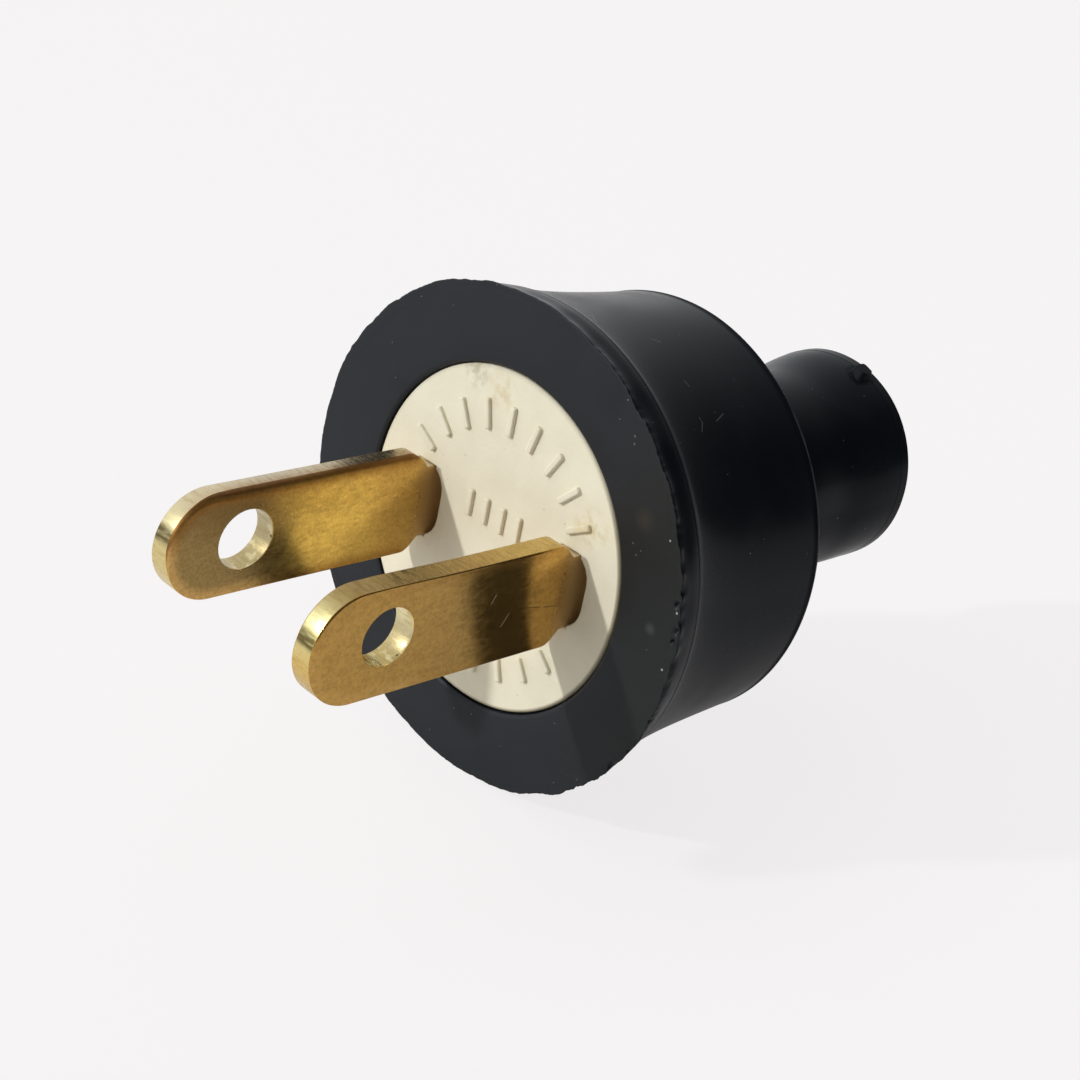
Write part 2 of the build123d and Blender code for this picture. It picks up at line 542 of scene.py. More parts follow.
def add_ticks(mesh):
    """Adds the plain raised bars: an arc at the top of the face, one at its bottom and a short row."""
    bars = []
    for first, last, radius, length in tick_arcs:
        for degrees in range(first, last + 1, tick_arc_step):
            angle = radians(degrees)
            bars.append(tick(radius * cos(angle), radius * sin(angle), pi / 2 - angle, length))
    for step in range(tick_row_count):
        x = tick_row_start + tick_row_spacing * step
        bars.append(tick(x, tick_row_height, 0, tick_row_length))
    for bar in bars:
        data = mesh_data("bar", bar)
        mesh.from_mesh(data)
        bpy.data.meshes.remove(data)


def build_insert(material):
    """Disc with a retaining flange, a wall between the terminals, blade slots, screw holes and bars."""
    segments = 256
    hole_segments = 48
    arc_steps = 8
    flange = insert_high.x
    rows = []
    for angle in quarter_turn(arc_steps):
        radius = insert_radius - insert_face_round * (1 - sin(angle))
        rows.append((radius, insert_face_round * (1 - cos(angle))))
    rows += [(insert_radius, front_lip_depth), (flange, front_lip_depth), (flange, insert_back)]
    mesh = turned(rows, segments)
    barrier = rectangle(0, barrier_thickness / 2, barrier_height / 2)
    mesh = combined(mesh, prism(barrier, insert_back - past, insert_high.y), "UNION")
    relief_half = blade_thickness / 2 + slot_relief_gap
    slot_half = blade_thickness / 2 + slot_clearance
    for side in (-1, 1):
        centre = side * blade_centre
        corner = side * (blade_inner - slot_clearance - foot_bend_radius / 2)
        relief = rectangle(centre, relief_half, slot_half_height, slot_relief_round)
        slot = rectangle(centre, slot_half, slot_half_height)
        bend = rectangle(corner, foot_bend_radius, slot_half_height)
        hole = circle(side * screw_centre, screw_tip_hole_radius, hole_segments)
        cuts = (
            (relief, -past, slot_relief_depth),
            (slot, -past, insert_back + past),
            (bend, insert_back - foot_bend_radius, insert_back + past),
            (hole, insert_back - screw_tip_hole_depth, insert_back + past),
        )
        for outline, low, high in cuts:
            mesh = combined(mesh, prism(outline, low, high), "DIFFERENCE")
    add_ticks(mesh)
    made = piece("insert_disc", mesh, [material], "insert")
    bevel = made.modifiers.new("bevel", "BEVEL")
    bevel.width = insert_edge_bevel * MM
    bevel.segments = 3
    bevel.limit_method = "ANGLE"
    bevel.angle_limit = radians(40)
    bevel.use_clamp_overlap = False
    keep_faces_flat(made)
    return made


# Blades

bend_start = insert_back - foot_bend_radius
bend_length = (foot_bend_radius + blade_thickness / 2) * pi / 2
foot_axis = blade_inner - foot_bend_radius
foot_start = bend_start + bend_length


def blade_outline(swell):
    """Upper half of the flat blade's outline as (y, z) points, from the tip to the foot's end."""
    arc_steps = 24
    edge_steps = 20
    corner_steps = 5
    points = []
    for angle in quarter_turn(arc_steps):
        y = blade_tip_centre - blade_half_width * cos(angle)
        points.append(Vector((y, blade_half_width * sin(angle))))
    for step in range(1, edge_steps + 1):
        y = mix(blade_tip_centre, blade_shoulder_y - shoulder_round, step / edge_steps)
        points.append(Vector((y, blade_half_width)))
    corner = Vector((blade_shoulder_y, blade_half_width))
    past_corner = corner.lerp(Vector((neck_y, neck_half_width)), shoulder_round_end)
    before_corner = points[-1]
    for step in range(1, corner_steps + 1):
        share = step / corner_steps
        points.append(before_corner.lerp(corner, share).lerp(corner.lerp(past_corner, share), share))
    for point in points:
        height = swell * exp(-((point.x - swell_y) / swell_reach) ** 2)
        point.y += height * smooth(0, blade_half_width, point.y)
    end = foot_start + foot_axis - blade_low.x
    points += [Vector((neck_y, neck_half_width)), Vector((end, neck_half_width)), Vector((end, 0))]
    return points


def into_metal(loop):
    """For each point of a closed loop, the way that takes both its sides one unit to their right."""
    steps = []
    for before, here, after in zip(loop[-1:] + loop[:-1], loop, loop[1:] + loop[:1]):
        first = (here - before).normalized()
        second = (after - here).normalized()
        inward = Vector((first.y + second.y, -first.x - second.x))
        steps.append(inward / (1 + first.dot(second)))
    return steps


def rolled(width, depth):
    """(inset, drop) places on the way from a wall over a rolled edge to a flat face."""
    steps = 7
    return [(width * (1 - cos(turn)), depth * (1 - sin(turn))) for turn in quarter_turn(steps)]


def bent(x, y):
    """Where a point of the flat blade goes when the foot is folded over behind the insert."""
    if y <= bend_start:
        return x, y
    reach = x - foot_axis
    angle = min((y - bend_start) / bend_length, 1) * pi / 2
    beyond = max(y - bend_start - bend_length, 0)
    return foot_axis + reach * cos(angle) - beyond, bend_start + reach * sin(angle)


def roll_share(word, y, z):
    """How much of the full edge roll the flat blade has at a place on its outline."""
    if y > blade_shoulder_y - shoulder_margin:
        return neck_roll_share
    along = mix(tip_roll_shares[word], 1.0, smooth(*roll_fade_y, y))
    return along * mix(low_roll_share, 1.0, smooth(*roll_fade_z, z))


def build_blade(word, side, materials):
    """Stamped blade: two faces with rolled edges, the walls between them, and the foot folded over."""
    name = f"blade_{word}"
    upper = blade_outline(edge_swell[word])
    lower = blade_outline(0)
    outer = upper + [Vector((y, -z)) for y, z in reversed(lower[1:-1])]
    half_turn = 24
    screw_y = foot_start + foot_axis - screw_centre
    screw_hole = circle(screw_y, screw_radius + slot_clearance, 2 * half_turn)
    along, height, wider = hole_faults[word]
    lock_hole = circle(lock_hole_y + along, lock_hole_radius + wider, 2 * half_turn, height)
    outer_shares = [roll_share(word, y, z) for y, z in outer]
    hole_shares = [hole_roll_share] * 2 * half_turn
    loops = ((outer, outer_shares), (screw_hole, hole_shares), (lock_hole, hole_shares))
    mesh = bmesh.new()
    near_x = blade_high.x if side > 0 else blade_inner
    walls = []
    for face_x, into in ((blade_inner, 1), (blade_high.x, -1)):
        roll = rolled(*near_rolls[word]) if face_x == near_x else rolled(*far_roll)
        rims = []
        for loop, shares in loops:
            rings = []
            for inset, drop in roll:
                ring = []
                for point, step, share in zip(loop, into_metal(loop), shares):
                    y, z = point + step * inset * share
                    ring.append(mesh.verts.new((face_x + into * drop * share, y, z)))
                rings.append(ring)
            for first, second in zip(rings, rings[1:]):
                band(mesh, first, second)
            walls.append(rings[0])
            rims.append(rings[-1] + rings[-1][:1])
        edge, screw, lock = rims
        turn = len(upper) - 1
        mesh.faces.new(edge[:turn + 1] + screw[:half_turn + 1] + lock[:half_turn + 1])
        mesh.faces.new(edge[turn:] + lock[half_turn:] + screw[half_turn:])
    for inner_ring, outer_ring in zip(walls[:3], walls[3:]):
        band(mesh, inner_ring, outer_ring, material_index=1)
    bend_steps = 10
    for step in range(bend_steps + 1):
        place = (0, bend_start + bend_length * step / bend_steps, 0)
        geometry = [*mesh.verts, *mesh.edges, *mesh.faces]
        bmesh.ops.bisect_plane(mesh, geom=geometry, plane_co=place, plane_no=(0, 1, 0))
    for vert in mesh.verts:
        x, y = bent(vert.co.x, vert.co.y)
        vert.co = (side * x, y, vert.co.z)
    bmesh.ops.recalc_face_normals(mesh, faces=mesh.faces)
    made = piece(name + "_brass", mesh, materials, name)
    keep_faces_flat(made)
    return made


# Terminal screws

def build_screw(name, side, material):
    """Threaded shank and slotted head of a terminal screw."""
    segments = 48
    tip, seat, top = screw_low.y, blade_high.y, screw_high.y
    rows_per_turn = 8
    steps = round((seat - tip) / thread_pitch * rows_per_turn)

    def ring(y, radius, depth=0.0):
        points = []
        for step in range(segments):
            turn = 2 * pi * step / segments
            phase = (y / thread_pitch - step / segments) % 1
            r = radius - depth * abs(2 * phase - 1)
            points.append((side * screw_centre + r * cos(turn), y, r * sin(turn)))
        return points

    thread = []
    for step in range(1, steps):
        thread.append(ring(tip + (seat - tip) * step / steps, screw_radius, thread_depth))
    mesh = lofted([
        ring(tip, screw_radius - thread_depth),
        *thread,
        ring(seat, screw_radius - thread_depth),
        ring(seat, screw_head_radius),
        ring(top - screw_head_bevel, screw_head_radius),
        ring(top - 0.4 * screw_head_bevel, screw_head_radius - 0.3 * screw_head_bevel),
        ring(top, screw_head_radius - screw_head_bevel),
    ])
    slot = rectangle(side * screw_centre, screw_slot_width / 2, screw_head_radius + past)
    mesh = combined(mesh, prism(slot, top - screw_slot_depth, top + past), "DIFFERENCE")
    return piece(name + "_steel", mesh, [material], name)


# Materials

def new_material(name):
    material = bpy.data.materials.new(name)
    material.use_nodes = True
    return material, material.node_tree.nodes["Principled BSDF"]


def is_socket(value):
    return isinstance(value, bpy.types.NodeSocket)


def set_inputs(node, inputs):
    """Sets inputs of a node to a value, or links them to a socket."""
    for key, value in inputs.items():
        if is_socket(value):
            node.id_data.links.new(value, node.inputs[key])
        else:
            node.inputs[key].default_value = value


def add(tree, kind, inputs, **settings):
    """New node of a tree, with its settings and inputs."""
    node = tree.nodes.new(kind)
    for key, value in settings.items():
        setattr(node, key, value)
    set_inputs(node, inputs)
    return node


def follow(kind, inputs, **settings):
    """New node in the tree of the sockets that it is linked to."""
    sockets = [value for value in inputs.values() if is_socket(value)]
    return add(sockets[0].id_data, kind, inputs, **settings)


def millimetres(shader):
    """The surface point in the part's frame, in millimetres, and its three coordinates."""
    place = add(shader.id_data, "ShaderNodeTexCoord", {}).outputs["Object"]
    place = follow("ShaderNodeVectorMath", {0: place, "Scale": 1 / MM}, operation="SCALE").outputs[0]
    return place, *follow("ShaderNodeSeparateXYZ", {0: place}).outputs


def vector_maths(operation, first, second):
    return follow("ShaderNodeVectorMath", {0: first, 1: second}, operation=operation).outputs


def stretched(place, factors):
    return vector_maths("MULTIPLY", place, factors)[0]


def clouds(place, scale, detail=3.0):
    """Noise from 0 to 1 with this many features to the millimetre."""
    inputs = {"Vector": place, "Scale": scale, "Detail": detail}
    return follow("ShaderNodeTexNoise", inputs).outputs["Fac"]


def ramp(value, low, high, start=0.0, end=1.0):
    """Value taken from low..high to start..end, with an even slope at both ends."""
    inputs = {"Value": value, "From Min": low, "From Max": high, "To Min": start, "To Max": end}
    return follow("ShaderNodeMapRange", inputs, interpolation_type="SMOOTHSTEP").outputs[0]


def maths(operation, first, second=0.0):
    return follow("ShaderNodeMath", {0: first, 1: second}, operation=operation).outputs[0]


def times(first, second):
    return maths("MULTIPLY", first, second)


def distance(first, second):
    return vector_maths("DISTANCE", first, second)["Value"]


def opaque(colour):
    """Colour that a socket takes: another socket, or red, green and blue with full alpha."""
    return colour if is_socket(colour) else (*colour, 1)


def tinted(share, first, second):
    """First colour where the share is 0, second where it is 1."""
    inputs = {0: share, 6: opaque(first), 7: opaque(second)}
    return follow("ShaderNodeMix", inputs, data_type="RGBA").outputs[2]


def toned(value, tones):
    """Colour that runs through tones, each a value with red, green and blue."""
    low, high = tones[0][0], tones[-1][0]
    share = follow("ShaderNodeMapRange", {"Value": value, "From Min": low, "From Max": high}).outputs[0]
    node = follow("ShaderNodeValToRGB", {0: share})
    stops = node.color_ramp.elements
    while len(stops) < len(tones):
        stops.new(0.5)
    for stop, (at, *colour) in zip(stops, tones):
        stop.position = (at - low) / (high - low)
        stop.color = opaque(colour)
    return node.outputs[0]


def shaded(share, colour, factors):
    """Colour multiplied by three factors where the share is 1."""
    inputs = {0: share, 6: colour, 7: opaque(factors)}
    return follow("ShaderNodeMix", inputs, data_type="RGBA", blend_type="MULTIPLY").outputs[2]


def spot(place, centre, radius, softness):
    """1 within a radius of a point, fading to 0 over the softness."""
    return ramp(distance(place, centre), radius, radius + softness, 1.0, 0.0)


def stroke(place, start, end, width):
    """1 on a thin straight line between two points, fading to 0 at its edges."""
    run = Vector(end) - Vector(start)
    away = vector_maths("SUBTRACT", place, start)[0]
    share = vector_maths("DOT_PRODUCT", away, run / run.length_squared)["Value"]
    share = follow("ShaderNodeClamp", {"Value": share}).outputs[0]
    along = follow("ShaderNodeVectorMath", {0: run, "Scale": share}, operation="SCALE").outputs[0]
    return ramp(distance(away, along), 0.3 * width, width, 1.0, 0.0)


def specks(place, spacing, radius, share):
    """Small dots scattered over the surface, with a mean spacing, in a share of all places."""
    cells = follow("ShaderNodeTexVoronoi", {"Vector": place, "Scale": 1 / spacing})
    dot = ramp(cells.outputs["Distance"], 0.5 * radius / spacing, radius / spacing, 1.0, 0.0)
    chance = follow("ShaderNodeSeparateColor", {0: cells.outputs["Color"]}).outputs[0]
    return times(dot, ramp(chance, 1 - share, 1 - 0.9 * share))


def roughen(shader, height, depth):
    """Bump of a depth in millimetres from a height between 0 and 1."""
    inputs = {"Height": height, "Distance": depth * MM, "Strength": 1.0}
    set_inputs(shader, {"Normal": follow("ShaderNodeBump", inputs).outputs[0]})


# Rubber: the two tones that its haze runs between, its gloss, where the tail has a paler patch, and
# the colours of what marks it
barrel_tones = ((0.0056, 0.0068, 0.0094), (0.0074, 0.0088, 0.0116))
barrel_specular = 0.06
# The flange's face has lighter tones than the barrel: partly a duller, worn skin, partly painted light
flange_tones = ((0.0082, 0.0088, 0.0110), (0.0110, 0.0117, 0.0140))
# Olive on the right of the flange's face is a painted reflection of the right brass blade
blade_reflection_olive = (0.0100, 0.0110, 0.0085)
flange_specular = 0.3
specular_tint = (0.84, 0.93, 1.0, 1)
soft_patch = (6.9, 24.0, 1.3)
patch_grey = (0.028, 0.028, 0.031)
flash_grey = (0.09, 0.092, 0.097)
fibre_grey = (0.30, 0.30, 0.30)
dust_grey = (0.25, 0.25, 0.24)
white_dust = (0.55, 0.56, 0.55)
pale_dust = (0.12, 0.125, 0.115)
soft_dust = (0.05, 0.052, 0.049)
# A brownish tint, used for one soft patch on the upper right of the flange's face
brown_tint = (0.032, 0.025, 0.016)
# Nearly black paint in the trimmed edge's pits: painted shade
pit_shade = (0.002, 0.002, 0.003)

# Marks on the flange's front face: x, z, radius, softness and colour
flange_marks = (
    (14.87, 2.57, 0.04, 0.05, white_dust),
    (14.79, -1.06, 0.04, 0.05, white_dust),
    (13.32, 0.79, 0.02, 0.5, soft_dust),
    (11.25, 6.62, 0.05, 0.9, brown_tint),
    (9.26, 10.83, 0.03, 0.08, pale_dust),
    (9.34, 10.39, 0.03, 0.07, pale_dust),
    (10.79, 4.97, 0.03, 0.05, pale_dust),
    (11.18, 4.41, 0.03, 0.05, pale_dust),
    (13.27, 6.28, 0.03, 0.05, white_dust),
)

# Fibres and scratches on the barrel: angle round the axis in degrees, and y, of both ends
barrel_fibres = (
    ((50.6, 5.36), (49.3, 5.43)),
    ((49.3, 5.43), (47.2, 5.03)),
    ((50.7, 7.74), (49.2, 6.82)),
    ((60.5, 5.92), (58.8, 6.03)),
    ((74.3, 6.12), (73.3, 6.61)),
    ((83.3, 2.69), (83.6, 3.14)),
    ((83.6, 3.14), (80.5, 2.55)),
)
fibre_width = 0.055


def dusted(place, colour):
    """Colour with pale specks of dust on it, and where they lie."""
    dust = maths("MAXIMUM", specks(place, 1.7, 0.07, 0.3), specks(place, 0.9, 0.045, 0.5))
    return tinted(times(dust, 0.7), colour, dust_grey), dust


def finish_rubber(shader, place, colour, dust, dullness, specular):
    """Gives a rubber its colour, its gloss, and a fine skin with dust standing on it."""
    set_inputs(shader, {"Base Color": colour, "Roughness": dullness})
    set_inputs(shader, {"Specular IOR Level": specular, "Specular Tint": specular_tint})
    skin = times(clouds(place, 5.0, 3.0), 0.15)
    roughen(shader, maths("ADD", skin, times(dust, 0.5)), 0.03)


def barrel_material():
    """Black moulded rubber with pale lines of flash, dust, fibres and a dull vent pip."""
    material, shader = new_material("black_rubber")
    place, x, y, z = millimetres(shader)
    haze = clouds(place, 0.25, 4.0)
    colour = tinted(ramp(haze, 0.35, 0.7), *barrel_tones)
    patch = spot(place, soft_patch, 0.3, 2.8)
    colour = tinted(times(patch, 0.7), colour, patch_grey)
    for flash_y in (parting_y, shoulder_y - shoulder_flash_width / 2):
        away = maths("ABSOLUTE", maths("SUBTRACT", y, flash_y))
        flash = times(ramp(away, 0.03, 0.1, 0.6, 0.0), ramp(haze, 0.3, 0.6))
        colour = tinted(flash, colour, flash_grey)
    colour, dust = dusted(place, colour)
    degree = radians(1) * shoulder_radius
    angle = times(maths("ARCTAN2", z, x), shoulder_radius)
    unrolled = follow("ShaderNodeCombineXYZ", {0: angle, 1: y}).outputs[0]
    for (start_angle, start_y), (end_angle, end_y) in barrel_fibres:
        start = (start_angle * degree, start_y, 0)
        end = (end_angle * degree, end_y, 0)
        fibre = stroke(unrolled, start, end, fibre_width)
        colour = tinted(times(fibre, 0.3), colour, fibre_grey)
    dull_pip = times(spot(place, pip_root(), 0.9, 0.4), 0.3)
    dullness = maths("ADD", dull_pip, ramp(haze, 0.3, 0.75, 0.2, 0.28))
    finish_rubber(shader, place, colour, dust, dullness, barrel_specular)
    return material


def flange_material():
    """Dull front face of the rubber flange, with dust, a brown patch, an olive painted reflection of the
    right blade and pits darkened as painted shade.
    """
    material, shader = new_material("dull_rubber")
    place, x = millimetres(shader)[:2]
    haze = clouds(place, 0.25, 4.0)
    colour = tinted(ramp(haze, 0.3, 0.7), *flange_tones)
    # Painted reflection: the flange's face turns olive towards its right, where it mirrors the right
    # blade
    colour = tinted(ramp(x, 8.0, 14.0, 0.0, 0.6), colour, blade_reflection_olive)
    colour, dust = dusted(place, colour)
    flat = stretched(place, (1, 0, 1))
    for mark_x, mark_z, radius, softness, tint in flange_marks:
        mark = spot(flat, (mark_x, 0, mark_z), radius, softness)
        colour = tinted(times(mark, 0.7), colour, tint)
    # Painted shade: the pits of the trimmed edge are darkened nearly to black
    for pit_x, pit_z, half_width, _ in edge_pits:
        pit = spot(flat, (pit_x, 0, pit_z), 0.5 * half_width, half_width)
        colour = tinted(pit, colour, pit_shade)
    dullness = ramp(haze, 0.3, 0.75, 0.5, 0.58)
    finish_rubber(shader, place, colour, dust, dullness, flange_specular)
    return material


# Insert: the two tones that its mottle runs between, its dirt and the painted shade on its rim, and
# stains with their centre, radius, softness and colour
cream_tones = ((0.72, 0.675, 0.52), (0.76, 0.72, 0.565))
rim_dirt_and_shade = (0.22, 0.19, 0.11)
grit_brown = (0.22, 0.18, 0.11)
insert_stains = (
    ((-3.6, 0, 9.5), 0.2, 1.3, (0.40, 0.37, 0.25)),
    ((-1.3, 0, 9.1), 0.3, 1.4, (0.62, 0.52, 0.31)),
    ((7.5, 0, 4.2), 0.3, 1.6, (0.60, 0.50, 0.29)),
)


def insert_material():
    """Matt cream moulding with fine specks, faint stains, and a rim darkened on its right by dirt and
    painted shade.
    """
    material, shader = new_material("cream_moulding")
    place, x, _, z = millimetres(shader)
    mottle = clouds(place, 0.4, 5.0)
    colour = tinted(ramp(mottle, 0.3, 0.7), *cream_tones)
    blotches = ramp(clouds(place, 1.3, 4.0), 0.40, 0.62)
    for centre, radius, softness, tint in insert_stains:
        stain = times(spot(place, centre, radius, softness), blotches)
        colour = tinted(times(stain, 0.7), colour, tint)
    # The rim darkens towards its lower right, the side turned away from the light: partly dirt, partly
    # painted shade of the rounded edge
    out = distance(stretched(place, (1, 0, 1)), (0, 0, 0))
    rim = ramp(out, insert_radius - 0.3, insert_radius - 0.08)
    side = maths("SUBTRACT", times(x, 0.85), times(z, 0.5))
    dirt = times(rim, ramp(side, 1.0, 7.0, 0.25, 0.85))
    colour = tinted(dirt, colour, rim_dirt_and_shade)
    grit = specks(place, 0.8, 0.06, 0.5)
    colour = tinted(times(grit, 0.6), colour, grit_brown)
    set_inputs(shader, {"Base Color": colour, "Roughness": 0.55, "Specular IOR Level": 0.35})
    roughen(shader, clouds(place, 3.5, 4.0), 0.02)
    return material


# Tones of the blades' faces: their colours, and along each blade y and the colour there. The right
# blade's browner, darker tones are a painted reflection of the dark surroundings that its face mirrors;
# the left blade is olive at its tip, golden in its middle and browner near its root.
golden_brass = (0.86, 0.575, 0.143)
brown_brass = (0.72, 0.45, 0.12)
olive_brass = (0.41, 0.275, 0.10)
# Brown of the necks: partly oxide, partly a painted reflection of the shaded insert
neck_oxide_and_reflection = (0.50, 0.31, 0.115)
grain_brown = (0.30, 0.18, 0.05)
fleck_brown = (0.16, 0.09, 0.03)
face_tones = {
    "left": (
        (-19.3, *olive_brass),
        (-13.5, *olive_brass),
        (-10.0, *golden_brass),
        (-5.5, *golden_brass),
        (-3.5, *brown_brass),
        (0.0, *brown_brass),
    ),
    "right": (
        (-19.3, 0.58, 0.345, 0.085),
        (-13.0, 0.53, 0.315, 0.08),
        (-8.0, 0.44, 0.27, 0.075),
        (-4.0, 0.72, 0.42, 0.11),
        (0.0, 0.72, 0.42, 0.11),
    ),
}

# Other tones along the faces' rims, darker brown on the upper half: their share, how much they dull the
# rim and the face's upper half, and their colours: one for the upper half, and below that y and the
# colour there
rim_shares = {"left": 0.8, "right": 0.3}
rim_dullness = {"left": 0.2, "right": 0.06}
high_dullness = {"left": 0.14, "right": 0.0}
high_rim = (0.47, 0.24, 0.062)
rim_tones = (
    (-19.3, 0.86, 0.52, 0.17),
    (-12.5, 0.86, 0.52, 0.17),
    (-10.5, 0.44, 0.23, 0.05),
    (0.0, 0.44, 0.23, 0.05),
)

# Colours of the sheared edges along their run from the tip's middle, upward and back along the top
edge_tones = {
    "left": (
        (-20.0, 0.62, 0.47, 0.18),
        (-3.0, 0.80, 0.63, 0.25),
        (0.0, 0.82, 0.67, 0.30),
        (1.6, 0.82, 0.73, 0.42),
        (3.2, 0.66, 0.56, 0.36),
        (7.0, 0.56, 0.48, 0.34),
        (20.0, 0.56, 0.46, 0.28),
    ),
    "right": (
        (-20.0, 0.42, 0.28, 0.09),
        (-3.0, 0.62, 0.42, 0.13),
        (-0.5, 0.82, 0.57, 0.18),
        (1.2, 0.92, 0.85, 0.40),
        (2.2, 0.90, 0.80, 0.40),
        (3.4, 0.30, 0.19, 0.055),
        (6.0, 0.54, 0.35, 0.105),
        (11.0, 0.48, 0.31, 0.088),
        (15.0, 0.62, 0.43, 0.13),
        (20.0, 0.68, 0.49, 0.17),
    ),
}

# Dirt and torn streaks of the sheared edges, and a painted highlight on their necks
root_dirt = {"left": 0.55, "right": 0.1}
dirt_brown = (0.15, 0.10, 0.035)
torn_brown = (0.12, 0.09, 0.03)
torn_height = 1.15
painted_neck_highlight = (0.80, 0.66, 0.42)

# Colours of the round holes' walls by height, darker at the bottom and paler at the top as painted shade
# and highlight, and of pale painted highlight patches and dark spots on them
painted_hole_highlight = (0.97, 0.85, 0.50)
hole_dark = (0.10, 0.08, 0.03)
hole_tones = {
    "left": ((-2.0, 0.48, 0.38, 0.18), (0.0, 0.52, 0.44, 0.25), (2.0, 0.56, 0.49, 0.29)),
    "right": ((-2.0, 0.44, 0.32, 0.09), (0.0, 0.66, 0.57, 0.32), (1.5, 0.98, 0.88, 0.52)),
}

# Scratches on the right blade's outer face: y and z of both ends, and colour
dark_scratch = (0.02, 0.012, 0.006)
bright_scratch = (0.9, 0.75, 0.5)
blade_scratches = (
    ((-3.5, -0.25), (-2.5, -0.42), dark_scratch),
    ((-2.2, -0.5), (-1.0, -0.68), dark_scratch),
    ((-6.58, 0.69), (-6.32, 1.2), bright_scratch),
    ((-5.48, -1.03), (-4.99, -0.28), bright_scratch),
)
scratch_width = 0.04
scratch_share = 0.65


def brass_material(word):
    """Rolled brass face, golden and brown along its length, its tones partly painted reflection, with
    painted shade on the left blade's rolled edge.
    """
    material, shader = new_material(f"brass_face_{word}")
    place, x, y, z = millimetres(shader)
    broad = clouds(place, 0.3, 3.0)
    grain = clouds(stretched(place, (1.0, 0.6, 1.6)), 2.6, 4.0)
    shifted = maths("ADD", y, times(maths("SUBTRACT", broad, 0.5), 3.0))
    # Tones along the blade: on the right blade they are a painted reflection of dark surroundings
    colour = toned(shifted, face_tones[word])
    past_tip = maths("MINIMUM", maths("SUBTRACT", y, blade_tip_centre), 0.0)
    middle = follow("ShaderNodeCombineXYZ", {0: past_tip, 1: z}).outputs[0]
    rim = ramp(distance(middle, (0, 0, 0)), 2.3, 3.1)
    rim_colour = tinted(ramp(z, -0.5, 1.5), toned(y, rim_tones), high_rim)
    rim_share = times(rim, ramp(y, -2.0, -1.0, rim_shares[word], 0.0))
    colour = tinted(rim_share, colour, rim_colour)
    colour = tinted(ramp(grain, 0.35, 0.75, 0.0, 0.3), colour, grain_brown)
    mottle = ramp(clouds(place, 5.0, 2.0), 0.4, 0.65, 0.0, 0.5)
    colour = shaded(mottle, colour, (0.72, 0.66, 0.6))
    # Painted shade on the left blade's rolled-over edge, darkened so that it doesn't mirror the bright
    # sky
    if word == "left":
        depth = maths("SUBTRACT", -blade_inner, x)
        rolled_edge_shade = times(ramp(depth, 0.04, 0.2), ramp(depth, 0.6, 0.9, 0.85, 0.0))
        colour = shaded(rolled_edge_shade, colour, (0.30, 0.22, 0.16))
    flecks = specks(place, 0.9, 0.06, 0.25)
    colour = tinted(times(flecks, 0.5), colour, fleck_brown)
    neck = ramp(y, neck_y - 1.3, neck_y + 0.7)
    bare = neck
    if word == "right":
        for (start_y, start_z), (end_y, end_z), tint in blade_scratches:
            start = (blade_high.x, start_y, start_z)
            end = (blade_high.x, end_y, end_z)
            scratch = times(stroke(place, start, end, scratch_width), scratch_share)
            colour = tinted(scratch, colour, tint)
            bare = maths("MAXIMUM", bare, scratch)
    # The neck is brown and less metallic: partly oxide, partly a painted reflection of the shaded insert
    colour = tinted(neck, colour, neck_oxide_and_reflection)
    metallic = ramp(bare, 0.0, 1.0, 0.94, 0.2)
    dullness = maths("ADD", times(rim, rim_dullness[word]), high_dullness[word])
    dullness = times(dullness, ramp(z, -0.5, 1.5))
    dullness = maths("MAXIMUM", dullness, times(neck, 0.3))
    dullness = maths("ADD", dullness, ramp(grain, 0.3, 0.7, 0.13, 0.2))
    set_inputs(shader, {"Base Color": colour, "Metallic": metallic, "Roughness": dullness})
    height = maths("ADD", grain, times(clouds(place, 0.5, 1.0), 2.0))
    roughen(shader, height, 0.004)
    return material


